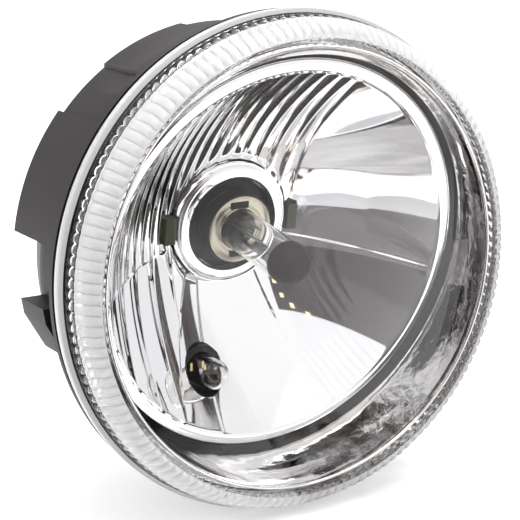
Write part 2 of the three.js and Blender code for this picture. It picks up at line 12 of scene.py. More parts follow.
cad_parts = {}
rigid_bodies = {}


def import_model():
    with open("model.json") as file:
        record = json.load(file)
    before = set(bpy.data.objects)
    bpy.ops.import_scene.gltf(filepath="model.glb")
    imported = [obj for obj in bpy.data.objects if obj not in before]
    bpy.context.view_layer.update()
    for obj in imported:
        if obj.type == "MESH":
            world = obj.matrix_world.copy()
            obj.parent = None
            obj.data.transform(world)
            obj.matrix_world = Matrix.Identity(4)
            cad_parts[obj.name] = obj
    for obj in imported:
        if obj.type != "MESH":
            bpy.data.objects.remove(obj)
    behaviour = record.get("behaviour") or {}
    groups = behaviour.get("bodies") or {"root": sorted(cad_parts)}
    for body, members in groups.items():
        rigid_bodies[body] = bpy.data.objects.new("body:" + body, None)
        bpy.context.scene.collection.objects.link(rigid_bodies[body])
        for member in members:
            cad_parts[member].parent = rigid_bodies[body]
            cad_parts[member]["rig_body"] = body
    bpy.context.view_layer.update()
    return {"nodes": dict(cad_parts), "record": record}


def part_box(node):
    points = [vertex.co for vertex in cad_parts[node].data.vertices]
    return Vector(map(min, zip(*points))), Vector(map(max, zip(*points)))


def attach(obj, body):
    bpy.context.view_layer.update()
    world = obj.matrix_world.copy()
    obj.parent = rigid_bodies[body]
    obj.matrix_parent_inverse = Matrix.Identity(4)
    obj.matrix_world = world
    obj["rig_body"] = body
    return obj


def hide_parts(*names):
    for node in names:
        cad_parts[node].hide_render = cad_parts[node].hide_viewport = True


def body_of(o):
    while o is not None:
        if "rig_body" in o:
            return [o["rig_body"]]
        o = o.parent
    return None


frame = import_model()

MM = 0.001
TAU = 2 * math.pi

# Driving sizes that repeat the CAD frame's
RIM_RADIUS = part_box("lens")[1].x / MM
LENS_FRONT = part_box("lens")[0].y / MM
NECK_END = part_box("rear_housing")[1].y / MM
DOME_RADIUS = 81.0
DOME_EDGE = -18.5
AXIS_DOWN = math.radians(9.6)
SEAT = Vector((0, 40.3, 7.3))
SEAT_HOLE_RADIUS = 20.2
FOCAL_LENGTH = 26.5
VERTEX_DEPTH = 6.2
BOWL_RADIUS = 69.0
LIP_RADIUS = 73.8
LIP_DEPTH = VERTEX_DEPTH - BOWL_RADIUS ** 2 / (4 * FOCAL_LENGTH)
SKIRT_LENGTH = 10.0
REFLECTOR_WALL = 2.2
LEDGE_RADIUS = 77.5
BARREL_RADIUS = 81.0
BARREL_END = 48.5
NECK_RADIUS = 60.0
PLASTIC_WALL = 2.5
GLASS_RADIUS, GLASS_BASE, GLASS_TIP = 7.75, 1.3, -50.1
CAP_FRONT, CAP_RADIUS = -8.4, 13.6
POSITION_X, POSITION_Z, POSITION_BORE, POSITION_TUBE_END = -17.6, -44.5, 9.0, 40.0
BOSS_RADIUS, BOSS_END = 24.5, 8.0
TAB_X = 26
CLIP_HINGE = (0, 11, 27)
PIVOT_X, PIVOT_Z = 64, 12
AIM_Z = -66
VENT_X, VENT_Z = 30, 62
SIDE_LUG_X, SIDE_LUG_Z, BOTTOM_LUG_Z = 83.4, -11.6, -84
LUG_FRONT, LUG_BACK = 12, 30
LUG_OUTER, LUG_TOP_Z = 88.6, -7.4
LUG_HALF_WIDTH = 9
RIB_COUNT = 144
RIB_DEPTH = 1.2
BEAD_DEPTH = 1.1

OPTICAL = Matrix.Translation(SEAT) @ Matrix.Rotation(AXIS_DOWN, 4, "X")
INTO_OPTICAL = OPTICAL.inverted()


# ---------------------------------------------------------------- mesh helpers
def mesh_piece(name, points, faces, material, body, smooth_angle=40, matrix=None):
    """A closed mesh from points in millimetres, riding on a CAD body."""
    mesh = bpy.data.meshes.new(name)
    mesh.from_pydata([tuple(p) for p in points], [], faces)
    if matrix is not None:
        mesh.transform(matrix)
    mesh.transform(Matrix.Scale(MM, 4))
    clean = bmesh.new()
    clean.from_mesh(mesh)
    bmesh.ops.remove_doubles(clean, verts=clean.verts, dist=0.002 * MM)
    bmesh.ops.dissolve_degenerate(clean, edges=clean.edges, dist=0.001 * MM)
    bmesh.ops.recalc_face_normals(clean, faces=clean.faces)
    clean.to_mesh(mesh)
    clean.free()
    piece = bpy.data.objects.new(name, mesh)
    bpy.context.scene.collection.objects.link(piece)
    mesh.materials.append(material)
    mesh.shade_smooth()
    mesh.set_sharp_from_angle(angle=math.radians(smooth_angle))
    if body:
        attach(piece, body)
    return piece


def loop_faces(columns, rows, closed_rows=True):
    """Quads of a grid whose columns close on themselves; rows close too for a ring-shaped body."""
    faces = []
    for i in range(columns):
        j = (i + 1) % columns
        for k in range(rows if closed_rows else rows - 1):
            m = (k + 1) % rows
            faces.append((i * rows + k, j * rows + k, j * rows + m, i * rows + m))
    return faces


def turned(name, profile, material, body, sides=96, matrix=None, closed=True, smooth_angle=40, shape=None):
    """A body turned about Y. shape(angle, r, y) may move each point of the profile."""
    points = []
    for i in range(sides):
        angle = TAU * i / sides
        for r, y in profile:
            if shape:
                r, y = shape(angle, r, y)
            points.append((r * math.cos(angle), y, r * math.sin(angle)))
    faces = loop_faces(sides, len(profile), closed)
    return mesh_piece(name, points, faces, material, body, smooth_angle, matrix)


def lofted(name, section, material, body, sides, matrix=None, smooth_angle=40):
    """A ring-shaped body whose section(angle) gives one closed loop of (x, y, z) points."""
    loops = [section(TAU * i / sides) for i in range(sides)]
    points = [p for loop in loops for p in loop]
    return mesh_piece(name, points, loop_faces(sides, len(loops[0])), material, body, smooth_angle, matrix)


def arc(centre, radius, start, end, steps):
    """Points of an arc in the (r, y) plane, in degrees."""
    turn = [math.radians(start + (end - start) * i / steps) for i in range(steps + 1)]
    return [(centre[0] + radius * math.cos(a), centre[1] + radius * math.sin(a)) for a in turn]


def line(a, b, steps):
    return [(a[0] + (b[0] - a[0]) * i / steps, a[1] + (b[1] - a[1]) * i / steps) for i in range(steps + 1)]


def smooth_step(value, low, high):
    """Rises smoothly from 0 at low to 1 at high, for one number or an array."""
    share = np.clip((value - low) / (high - low), 0, 1)
    return share * share * (3 - 2 * share)


def modify(piece, kind, **settings):
    """Adds a modifier to a piece and applies it."""
    modifier = piece.modifiers.new(kind.lower(), kind)
    for key, value in settings.items():
        setattr(modifier, key, value)
    bpy.context.view_layer.objects.active = piece
    with bpy.context.temp_override(object=piece, active_object=piece, selected_objects=[piece]):
        bpy.ops.object.modifier_apply(modifier=modifier.name)


def combine(piece, tool, operation):
    """Joins or cuts with a helper mesh, which is then deleted."""
    modify(piece, "BOOLEAN", operation=operation, object=tool, solver="EXACT")
    bpy.data.objects.remove(tool)


def helper_bar(radius, y0, y1, x=0.0, z=0.0, sides=48, matrix=None):
    profile = [(0, y0), (radius, y0), (radius, y1), (0, y1)]
    shift = Matrix.Translation((x, 0, z))
    return turned("helper", profile, materials["black_plastic"], None, sides,
                  (matrix or Matrix.Identity(4)) @ shift, closed=False)


BLOCK_FACES = [(0, 1, 3, 2), (4, 6, 7, 5), (0, 4, 5, 1), (2, 3, 7, 6), (0, 2, 6, 4), (1, 5, 7, 3)]


def block_points(low, high):
    xs, ys, zs = zip(low, high)
    return [(x, y, z) for x in xs for y in ys for z in zs], BLOCK_FACES


def helper_block(low, high, matrix=None):
    return mesh_piece("helper", *block_points(low, high), materials["black_plastic"], None, matrix=matrix)


# ---------------------------------------------------------------- materials
def node_tree(name):
    material = bpy.data.materials.new(name)
    material.use_nodes = True
    nodes, links = material.node_tree.nodes, material.node_tree.links
    return material, nodes, links, nodes["Principled BSDF"]


def noise_field(nodes, links, scale, detail=4.0, stretch=(1, 1, 1)):
    """Object-space noise; scale is in features per metre."""
    place = nodes.new("ShaderNodeTexCoord")
    stretcher = nodes.new("ShaderNodeMapping")
    stretcher.inputs["Scale"].default_value = stretch
    field = nodes.new("ShaderNodeTexNoise")
    field.inputs["Scale"].default_value = scale
    field.inputs["Detail"].default_value = detail
    links.new(place.outputs["Object"], stretcher.inputs["Vector"])
    links.new(stretcher.outputs["Vector"], field.inputs["Vector"])
    return field.outputs["Fac"]


def surface(name, color, roughness, metallic=0.0, tint=0.06, rough_swing=0.06, grain=900.0, bump=0.02,
            bump_depth=0.0002, cloud=60.0, stretch=(1, 1, 1), **sockets):
    """A principled material with cloudy colour, uneven roughness and a fine grain in its bump."""
    material, nodes, links, shader = node_tree(name)
    clouds = noise_field(nodes, links, cloud)
    shades = nodes.new("ShaderNodeMix")
    shades.data_type = "RGBA"
    shades.inputs["A"].default_value = (*[c * (1 - tint) for c in color], 1)
    shades.inputs["B"].default_value = (*[min(1.0, c * (1 + tint)) for c in color], 1)
    links.new(clouds, shades.inputs["Factor"])
    links.new(shades.outputs["Result"], shader.inputs["Base Color"])
    fine = noise_field(nodes, links, grain, 6.0, stretch)
    spread = nodes.new("ShaderNodeMapRange")
    spread.inputs["To Min"].default_value = max(0.0, roughness - rough_swing)
    spread.inputs["To Max"].default_value = min(1.0, roughness + rough_swing)
    links.new(fine, spread.inputs["Value"])
    links.new(spread.outputs["Result"], shader.inputs["Roughness"])
    relief = nodes.new("ShaderNodeBump")
    relief.inputs["Strength"].default_value = bump
    relief.inputs["Distance"].default_value = bump_depth
    links.new(fine, relief.inputs["Height"])
    links.new(relief.outputs["Normal"], shader.inputs["Normal"])
    shader.inputs["Metallic"].default_value = metallic
    for socket, value in sockets.items():
        shader.inputs[socket.replace("_", " ")].default_value = value
    return material


def clear(name, color, ior, roughness=0.0, bump=0.01, transmission=1.0):
    """Clear plastic or glass with faint moulding waves."""
    material, nodes, links, shader = node_tree(name)
    shader.inputs["Base Color"].default_value = (*color, 1)
    shader.inputs["Roughness"].default_value = roughness
    shader.inputs["IOR"].default_value = ior
    shader.inputs["Transmission Weight"].default_value = transmission
    waves = noise_field(nodes, links, 45.0, 2.0)
    relief = nodes.new("ShaderNodeBump")
    relief.inputs["Strength"].default_value = bump
    relief.inputs["Distance"].default_value = 0.0004
    links.new(waves, relief.inputs["Height"])
    links.new(relief.outputs["Normal"], shader.inputs["Normal"])
    return material


materials = {
    "clear_lens": clear("clear_lens", (0.985, 0.985, 0.985), 1.34),
    "ribbed_lens": clear("ribbed_lens", (0.88, 0.88, 0.89), 1.45, 0.06, 0.02, 0.6),
    "clear_glass": clear("clear_glass", (0.98, 0.975, 0.96), 1.45, bump=0.03),
    "bezel_chrome": surface("bezel_chrome", (0.7, 0.685, 0.675), 0.05, 1.0, 0.3, 0.03, 95, 0.35, 0.0009,
                            cloud=75),
    "mirror_coat": surface("mirror_coat", (0.93, 0.93, 0.94), 0.035, 1.0, 0.02, 0.02, 400, 0.008),
    "collar_chrome": surface("collar_chrome", (0.88, 0.88, 0.885), 0.06, 1.0, 0.03, 0.03, 700, 0.02),
    "nickel": surface("nickel", (0.44, 0.41, 0.335), 0.24, 1.0, 0.08, 0.06, 500, 0.02),
    "spring_steel": surface("spring_steel", (0.55, 0.55, 0.57), 0.3, 1.0, 0.1, 0.1, 1500, 0.06),
    "zinc_steel": surface("zinc_steel", (0.6, 0.62, 0.66), 0.34, 1.0, 0.12, 0.1, 800, 0.06),
    "brass": surface("brass", (0.72, 0.55, 0.28), 0.3, 1.0, 0.1, 0.1, 900, 0.05),
    "dark_wire": surface("dark_wire", (0.16, 0.155, 0.15), 0.38, 1.0, 0.15, 0.1, 1200, 0.08),
    "housing_plastic": surface("housing_plastic", (0.014, 0.0105, 0.011), 0.46, 0.0, 0.2, 0.08, 1400, 0.1,
                               Specular_IOR_Level=0.28),
    "black_plastic": surface("black_plastic", (0.007, 0.007, 0.008), 0.42, 0.0, 0.12, 0.08, 1300, 0.1),
    "olive_plastic": surface("olive_plastic", (0.085, 0.095, 0.055), 0.5, 0.0, 0.15, 0.08, 1200, 0.1),
    "black_rubber": surface("black_rubber", (0.018, 0.018, 0.018), 0.72, 0.0, 0.2, 0.08, 1000, 0.15),
    # Near-black for the bulb cap's side and shoulder: painted shade of the dark gap round the cap inside the
    # collar. The cap bracket strips use it too.
    "gap_shade_black": surface("gap_shade_black", (0.006, 0.005, 0.005), 0.5, 0.0, 0.2, 0.1, 900, 0.05, Specular_IOR_Level=0.3),
    "tip_paint": surface("tip_paint", (0.03, 0.019, 0.021), 0.55, 0.0, 0.12, 0.08, 600, 0.02,
                         Specular_IOR_Level=0.2),
}


# ---------------------------------------------------------------- lens
def spherical_cap(edge_radius, edge_y, apex_y, steps):
    sag = edge_y - apex_y
    sphere = (edge_radius ** 2 + sag ** 2) / (2 * sag)
    radii = [edge_radius * math.sin(math.pi / 2 * i / steps) for i in range(steps + 1)]
    return [(r, apex_y + sphere - math.sqrt(sphere ** 2 - r ** 2)) for r in radii]


def pillow(angle):
    """1 on the broad crest of a rib and 0 in the narrow groove beside it."""
    return math.sqrt(abs(math.sin(angle * RIB_COUNT / 2)))


def rib_shape(angle, r, y):
    """Presses the grooves between the ribs and between the beads into the lens shoulder."""
    groove = 1 - pillow(angle)
    if r > 81.5 and -18.6 <= y <= -10.3:
        depth = RIB_DEPTH * min(1.0, (-10.2 - y) / 0.8)
        turn = smooth_step(y, -18.6, -12.0)
        return r - groove * depth * turn, y + groove * depth * (1 - turn)
    if -9.7 <= y <= -5.0:
        return r - groove * BEAD_DEPTH * math.sin(math.pi * (y + 9.7) / 4.7), y
    return r, y


def build_lens():
    """Smooth dome, pillow-shaped ribs, a row of beads and a plain flange."""
    dome = spherical_cap(DOME_RADIUS, DOME_EDGE, LENS_FRONT + 0.05, 16)
    step = [(81.2, -18.3), (81.5, -18.3)]
    shoulder = [(81.8, -18.6), (82.7, -18.3), (83.6, -17.7), (84.5, -16.8), (85.4, -15.7), (86.2, -14.4),
                (86.8, -13.1), (87.3, -11.8), (87.5, -10.8), (87.6, -10.3)]
    groove = [(87.0, -10.0), (87.0, -9.8)]
    beads = line((87.5, -9.6), (88.2, -5.1), 8)
    flange = [(87.7, -4.8), (87.8, -4.4), (88.5, -4.0), (89.6, -3.4), (RIM_RADIUS - 0.08, -3.0),
              (RIM_RADIUS - 0.02, -2.6), (RIM_RADIUS - 0.02, -0.4), (RIM_RADIUS - 0.3, -0.02), (84.5, 0.0)]
    inside = [(85.2, -2.4), (85.0, -6.0), (84.6, -9.5), (83.8, -12.2), (82.2, -14.3), (80.5, -15.5)]
    inner_dome = spherical_cap(DOME_RADIUS - 2, DOME_EDGE + 2.4, LENS_FRONT + 2.4, 14)[::-1]
    profile = dome + step + shoulder + groove + beads + flange + inside + inner_dome
    piece = turned("lens_shell", profile, materials["clear_lens"], "housing", RIB_COUNT * 8,
                   closed=False, smooth_angle=50, shape=rib_shape)
    piece.data.materials.append(materials["ribbed_lens"])
    for face in piece.data.polygons:
        reach = math.hypot(face.center.x, face.center.z) / MM
        depth = face.center.y / MM
        on_ribs = reach > DOME_RADIUS + 0.1 and -18.8 < depth < -10.2
        on_flange = reach > 88.3 and depth > -4.2
        face.material_index = int(on_ribs or on_flange)
    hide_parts("lens")


# ---------------------------------------------------------------- bezel
def bezel_section(angle):
    """Rolled front edge, cone back to the tilted lip, outside and foot."""
    c, s = math.cos(angle), math.sin(angle)
    edge = OPTICAL @ Vector((75.4 * c, LIP_DEPTH - 2, 75.4 * s))
    reach = math.hypot(edge.x, edge.z)
    roll = [(77.5, -14.6), (77.65, -14.95), (77.95, -15.15), (78.35, -15.15), (78.7, -14.9), (78.8, -14.4)]
    foot = [(78.3, 0.8), (83.7, 0.8), (83.8, 0.95), (83.8, 2.1), (83.7, 2.2), (77.0, 2.2)]
    inner_back = (reach + 0.1, edge.y)
    cone = line((reach, edge.y), (77.5, -14.6), 10)[:-1]
    hollow = [(r + 0.5 * math.sin(math.pi * i / 10), y) for i, (r, y) in enumerate(cone)]
    section = roll + foot + [(reach + 1.3, edge.y), inner_back] + hollow[1:]
    return [(r * c, y, r * s) for r, y in section]


def build_bezel():
    """Bright trim ring: square to the rim in front, parallel to the tilted lip behind."""
    piece = lofted("bezel_cone", bezel_section, materials["bezel_chrome"], "housing", 288, smooth_angle=35)
    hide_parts("inner_bezel")


# ---------------------------------------------------------------- reflector
def bowl_depth(x, z):
    return VERTEX_DEPTH - (x ** 2 + z ** 2) / (4 * FOCAL_LENGTH)


def bowl_front(x, z):
    """World depth of the plain bowl behind a point of the front view."""
    depth = 0.0
    steps, damping = 40, 0.7
    for _ in range(steps):
        local = INTO_OPTICAL @ Vector((x, depth, z))
        depth += damping * (bowl_depth(local.x, local.z) - local.y)
    return depth


def arches(value, sharpness=0.04):
    """Repeated round arches, 0 in the sharp valleys and nearly 1 on the crests."""
    wave = np.abs(np.sin(math.pi * value))
    return np.sqrt(wave ** 2 + sharpness ** 2) - sharpness


def facets(x, z):
    """Height of the flutes and panels over the plain bowl, towards its front, in the optical frame."""
    ridge = z + 7.7 + np.where(x > 0, 0.12 * np.maximum(x - 26, 0), 0)
    upper = smooth_step(ridge, -0.5, 0.5)
    right = smooth_step(x, 25.6, 26.6)
    left_of_panel = 17.5 + 0.43 * (-20 - z) + x
    right_of_panel = 11.5 + 0.15 * (-22 - z) + x
    lower_ridge = 12.5 + 0.304 * (-18.9 - z) - x
    panel = smooth_step(left_of_panel, -0.5, 0.5) * (1 - smooth_step(right_of_panel, -0.5, 0.5))
    side = 1 - smooth_step(left_of_panel, -0.6, 0.4)
    sector = 1 - smooth_step(lower_ridge, -0.4, 0.4)
    narrow = 0.5 * arches(x / 5.6 + 0.15) + 0.25
    wide = 0.35 + 0.28 * arches((x - 31) / 19) * (1 - smooth_step(z, 6, 22))
    height = upper * ((1 - right) * narrow + right * wide)
    height += (1 - upper) * (side * (0.2 + 0.75 * arches((x + 23.5) / 10.5)) + panel * 0.45 + sector * 0.12)
    reach = np.sqrt(x ** 2 + z ** 2)
    return height * smooth_step(reach, SEAT_HOLE_RADIUS + 3, SEAT_HOLE_RADIUS + 7)


def build_reflector():
    """Fluted bowl with its lip, skirt, back, position lamp tube and clip keepers."""
    sides, steps = 720, 110
    angles = np.arange(sides) * TAU / sides
    radii = np.linspace(SEAT_HOLE_RADIUS, BOWL_RADIUS, steps)
    r, a = np.meshgrid(radii, angles)
    x, z = r * np.cos(a), r * np.sin(a)
    y = bowl_depth(x, z) - facets(x, z) * (1 - smooth_step(r, BOWL_RADIUS - 0.6, BOWL_RADIUS))
    skirt_end = LIP_DEPTH + SKIRT_LENGTH
    lip = [(69.3, LIP_DEPTH - 0.25), (70.2, LIP_DEPTH - 0.55), (71.4, LIP_DEPTH - 0.6),
           (72.6, LIP_DEPTH - 0.35), (73.5, LIP_DEPTH + 0.1), (LIP_RADIUS, LIP_DEPTH + 0.6),
           (LIP_RADIUS, skirt_end - 0.3), (LIP_RADIUS - 0.3, skirt_end), (LIP_RADIUS - 2, skirt_end),
           (LIP_RADIUS - 2, LIP_DEPTH + REFLECTOR_WALL + 1)]
    back = [(radius + 1.2, bowl_depth(radius, 0) + 2.0)
            for radius in np.linspace(BOWL_RADIUS - 2.5, 27, 16)]
    boss = [(BOSS_RADIUS + 0.6, 5.0), (BOSS_RADIUS, BOSS_END), (SEAT_HOLE_RADIUS, BOSS_END),
            (SEAT_HOLE_RADIUS, 5.0)]
    points = []
    for i, angle in enumerate(angles):
        c, s = math.cos(angle), math.sin(angle)
        points += list(zip(x[i], y[i], z[i]))
        points += [(radius * c, depth, radius * s) for radius, depth in lip + back + boss]
    rows = len(points) // sides
    piece = mesh_piece("reflector_bowl", points, loop_faces(sides, rows), materials["mirror_coat"],
                       "reflector_unit", 55, OPTICAL)
    combine(piece, helper_bar(POSITION_BORE, -20, 60, POSITION_X, POSITION_Z, 72), "DIFFERENCE")
    for side in (-1, 1):
        slot = helper_block((side * TAB_X - 2.3, -8, -5.3), (side * TAB_X + 2.3, 7, 5.3), OPTICAL)
        combine(piece, slot, "DIFFERENCE")
    piece.data.set_sharp_from_angle(angle=math.radians(55))
    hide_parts("reflector")
    build_position_tube()
    build_clip_keepers()
    build_pads()


def build_position_tube():
    """Black-lined socket tube, cut off just behind the bowl's surface."""
    def section(angle):
        c, s = math.cos(angle), math.sin(angle)
        x, z = POSITION_X + POSITION_BORE * c, POSITION_Z + POSITION_BORE * s
        front = bowl_front(x, z) + 0.25
        end = POSITION_TUBE_END
        profile = [(8.75, front), (8.95, front), (8.95, front + 3.6), (11, front + 4),
                   (11, end - 0.4), (10.6, end), (8.95, end), (8.75, end - 0.2)]
        return [(POSITION_X + radius * c, y, POSITION_Z + radius * s) for radius, y in profile]

    piece = lofted("position_socket_tube", section, materials["black_plastic"], "reflector_unit", 72)


def build_pads():
    """Flat pads on the bowl's back that carry the two pivot sockets and the aiming nut."""
    socket_back, nut_back, half_side = 18.4, 24.5, 6
    inward = 0.9   # the front corners take the bowl's depth a little nearer the axis, to stay behind it
    spots = [("pivot_pad_left", -PIVOT_X, PIVOT_Z, socket_back),
             ("pivot_pad_right", PIVOT_X, PIVOT_Z, socket_back), ("aiming_pad", 0, AIM_Z, nut_back)]
    for name, x, z, back in spots:
        corners = [(x + i, z + k) for i in (-half_side, half_side) for k in (-half_side, half_side)]
        points = []
        for px, pz in corners:
            points += [(px, bowl_front(px * inward, pz * inward) + 1.2, pz), (px, back, pz)]
        piece = mesh_piece(name, points, BLOCK_FACES, materials["mirror_coat"], "reflector_unit")
        modify(piece, "BEVEL", width=0.4 * MM, segments=3, limit_method="ANGLE")


def build_clip_keepers():
    """Moulded eyes that hold the wire clip's ends, and its catch."""
    hinge_line = OPTICAL @ Matrix.Translation(CLIP_HINGE) @ Matrix.Rotation(math.pi / 2, 4, "Z")
    spots = [("clip_keeper_left", (-20, 1, 24.5), (-16, 13.5, 29.5)),
             ("clip_keeper_right", (16, 1, 24.5), (20, 13.5, 29.5)),
             ("clip_catch", (-6, 2, -28.6), (6, 12.5, -25.2))]
    for name, low, high in spots:
        piece = mesh_piece(name, *block_points(low, high), materials["mirror_coat"], "reflector_unit",
                           matrix=OPTICAL)
        if name != "clip_catch":
            bore = helper_bar(1.2, -30, 30, sides=24, matrix=hinge_line)
            combine(piece, bore, "DIFFERENCE")
        modify(piece, "BEVEL", width=0.5 * MM, segments=3, limit_method="ANGLE")


# ---------------------------------------------------------------- collar and bulb
def build_collar():
    """Bright ring with a rolled outer edge, a fine groove and a sleeve in the seat hole."""
    inner_edge = [(18.0, -2.4)] + arc((18.9, -2.5), 0.9, 180, 270, 5)
    groove = [(19.9, -3.4), (20.0, -3.0), (20.5, -3.0), (20.6, -3.4)]
    outer_edge = arc((21.2, -1.1), 2.3, 270, 360, 8) + [(23.5, 0.3), (23.2, 0.6)]
    sleeve = [(19.8, 0.6), (19.8, 5.5), (18.0, 5.5)] + line((18.0, 4.5), (18.0, -1.5), 4)
    profile = inner_edge + groove + outer_edge + sleeve
    piece = turned("collar_ring", profile, materials["collar_chrome"], "reflector_unit", 144, OPTICAL)
    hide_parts("bulb_collar")


def build_cap():
    """Metal drum whose side is painted near-black as the shade in the gap round it, and the glass standing in
    its blind bore.
    """
    bore = GLASS_RADIUS + 0.3
    step = CAP_FRONT + 0.3
    face = [(bore, CAP_FRONT), (bore + 0.6, CAP_FRONT), (bore + 0.8, step), (bore + 1.2, step),
            (bore + 1.4, CAP_FRONT), (CAP_RADIUS - 0.7, CAP_FRONT)]
    side = [(CAP_RADIUS - 0.1, CAP_FRONT + 0.5), (CAP_RADIUS, CAP_FRONT + 1), (CAP_RADIUS, -3.2),
            (13.2, -2.9), (13.2, -2.2), (CAP_RADIUS, -1.9), (CAP_RADIUS, 2.6), (13.4, 2.8), (0, 2.8)]
    profile = [(0, GLASS_BASE + 0.3), (bore, GLASS_BASE + 0.3)] + face + side
    drum = turned("bulb_cap_drum", profile, materials["nickel"], "reflector_unit", 96, OPTICAL,
                  closed=False)
    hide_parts("bulb_cap")
    drum.data.materials.append(materials["gap_shade_black"])
    # The drum's outer side takes the second, near-black slot: painted shade of the gap between the cap and the
    # collar.
    for polygon in drum.data.polygons:
        local = INTO_OPTICAL @ (polygon.center / MM)
        polygon.material_index = int(math.hypot(local.x, local.z) > CAP_RADIUS - 0.6)
    build_cap_shoulder()
    build_cap_bracket()


def build_cap_shoulder():
    """Wider base of the cap, painted near-black as the shade in the gap behind the collar, with the spigot
    that goes back through the seat.
    """
    shoulder = [(0, 2.9), (17.0, 2.9), (17.3, 3.2), (17.3, 7.8), (17.1, BOSS_END), (10.7, BOSS_END),
                (10.7, 13.8), (10.5, 14.0), (0, 14.0)]
    base = turned("bulb_cap_shoulder", shoulder, materials["gap_shade_black"], "reflector_unit", 96, OPTICAL,
                  closed=False)


def build_cap_bracket():
    """Dark pressed strips on the cap's face."""
    parts = [("plate", (-2.3, -15.5, -6.0), (0.0, -6.0, 1.9)),
             ("foot", (-6.0, -6.8, -3.0), (6.0, -5.9, 2.0)),
             ("top", (-4.6, -9.1, 8.4), (2.6, -8.3, 10.9)),
             ("bottom", (-3.4, -9.1, -10.6), (1.4, -8.3, -8.4))]
    for name, low, high in parts:
        piece = mesh_piece("cap_bracket_" + name, *block_points(low, high), materials["gap_shade_black"],
                           "reflector_unit", matrix=OPTICAL)
        modify(piece, "BEVEL", width=0.15 * MM, segments=2, limit_method="ANGLE")


def glass_profile(radius, wall, base, tip, steps=10):
    """A thin round-ended tube, open at its base."""
    def dome(r, top):
        turns = [math.pi / 2 * i / steps for i in range(steps + 1)]
        return [(r * math.sin(a), top + r * (1 - math.cos(a))) for a in turns]
    outer = dome(radius, tip)
    inner = dome(radius - wall, tip + wall)[::-1]
    middle = [(radius, base - 1), (radius - 0.1, base), (radius - wall, base)]
    return outer + middle + inner


def build_main_bulb():
    """Glass with a painted tip and two coiled filaments."""
    glass = turned("main_bulb_glass", glass_profile(GLASS_RADIUS, 0.8, GLASS_BASE, GLASS_TIP),
                   materials["clear_glass"], "reflector_unit", 72, OPTICAL, closed=False)
    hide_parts("bulb_glass")
    skin, paint_end = 0.12, -40.5
    cap = glass_profile(GLASS_RADIUS + skin, skin - 0.02, paint_end, GLASS_TIP - skin)
    tip = turned("main_bulb_painted_tip", cap, materials["tip_paint"], "reflector_unit", 72, OPTICAL,
                 closed=False)
    build_coil("low_beam_filament", (0, -20.8, 0.6), "Y")
    build_coil("high_beam_filament", (0, -12.6, 0.4), "X")


def tube_points(path, radius, sides=8):
    """Rings of a round tube along a path, with a frame carried from ring to ring."""
    path = [Vector(p) for p in path]
    up = Vector((0.13, 0.21, 0.97))
    points = []
    for i, p in enumerate(path):
        ahead = (path[min(i + 1, len(path) - 1)] - path[max(i - 1, 0)]).normalized()
        side = ahead.cross(up).normalized()
        up = side.cross(ahead).normalized()
        points += [p + radius * (side * math.cos(TAU * k / sides) + up * math.sin(TAU * k / sides))
                   for k in range(sides)]
    return points


def tube_piece(name, path, radius, material, body, sides=8, matrix=None):
    points = tube_points(path, radius, sides)
    last = (len(path) - 1) * sides
    faces = []
    for ring in range(0, last, sides):
        for k in range(sides):
            m = (k + 1) % sides
            faces.append((ring + k, ring + m, ring + sides + m, ring + sides + k))
    faces.append(tuple(range(sides - 1, -1, -1)))
    faces.append(tuple(last + k for k in range(sides)))
    return mesh_piece(name, points, faces, material, body, 60, matrix)


def build_coil(node, centre, along, matrix=OPTICAL, turns=9, radius=0.55, length=4.8):
    """A filament wound round the X or Y axis, in place of its CAD node."""
    path = []
    steps = turns * 12
    for i in range(steps + 1):
        share = i / steps
        a, run = TAU * turns * share, (share - 0.5) * length
        p = (radius * math.cos(a), run, radius * math.sin(a))
        path.append(Vector(p if along == "Y" else (p[1], p[0], p[2])) + Vector(centre))
    body = body_of(frame["nodes"][node])[0]
    piece = tube_piece(node + "_coil", path, 0.14, materials["dark_wire"], body, 6, matrix)
    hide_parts(node)


def build_position_bulb():
    """Small wedge-base bulb, square to the rim."""
    at = Matrix.Translation((POSITION_X, 0, POSITION_Z))
    glass = turned("position_bulb_glass", glass_profile(5.7, 0.7, 38.6, 15.9), materials["clear_glass"],
                   "position_lamp", 60, at, closed=False)
    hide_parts("position_bulb")
    build_coil("position_filament", (0, 23, 0), "X", at)


def build_clip():
    """Wire clip with bent corners, in the optical frame."""
    _, hinge_y, hinge_z = CLIP_HINGE
    bend, steps = 2.4, 8
    right_half = [Vector((14, 10.8, -24.2)), Vector((14, hinge_y, hinge_z)), Vector((19.8, hinge_y, hinge_z))]
    corners = [Vector((-p.x, p.y, p.z)) for p in reversed(right_half)] + right_half
    path = [corners[0]]
    for before, corner, after in zip(corners, corners[1:], corners[2:]):
        start = corner + (before - corner).normalized() * bend
        end = corner + (after - corner).normalized() * bend
        for i in range(steps + 1):
            t = i / steps
            path.append(start * (1 - t) ** 2 + corner * 2 * t * (1 - t) + end * t ** 2)
    path.append(corners[-1])
    piece = tube_piece("wire_clip", path, 0.8, materials["spring_steel"], "bulb_clip", 14, OPTICAL)
    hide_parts("bulb_clip")


# ---------------------------------------------------------------- housing
# Each is (first angle, last angle, radius), in degrees up from +X.
RAISED = [(8, 40, 83.5), (140, 172, 83.5), (56, 80, 82.6), (100, 124, 82.6)]
HOOD = (8, 172, 81.5)
TAPER_START, TAPER_END_RADIUS = 30.0, 74.0


def barrel_back(degrees):
    """The barrel's outline: hood, raised block, or the lower taper to the back wall."""
    if HOOD[0] < degrees < HOOD[1]:
        radius = max([HOOD[2]] + [block[2] for block in RAISED if block[0] < degrees < block[1]])
        behind_seam = radius - 0.4
        return [(radius, 8), (radius, 26.5), (behind_seam, 27), (behind_seam, 40),
                (behind_seam, BARREL_END - 1), (behind_seam, BARREL_END), (TAPER_END_RADIUS, BARREL_END)]
    taper = line((BARREL_RADIUS, TAPER_START), (TAPER_END_RADIUS, BARREL_END), 3)
    return [(BARREL_RADIUS, 8), (BARREL_RADIUS, 26.5), (BARREL_RADIUS, 27)] + taper


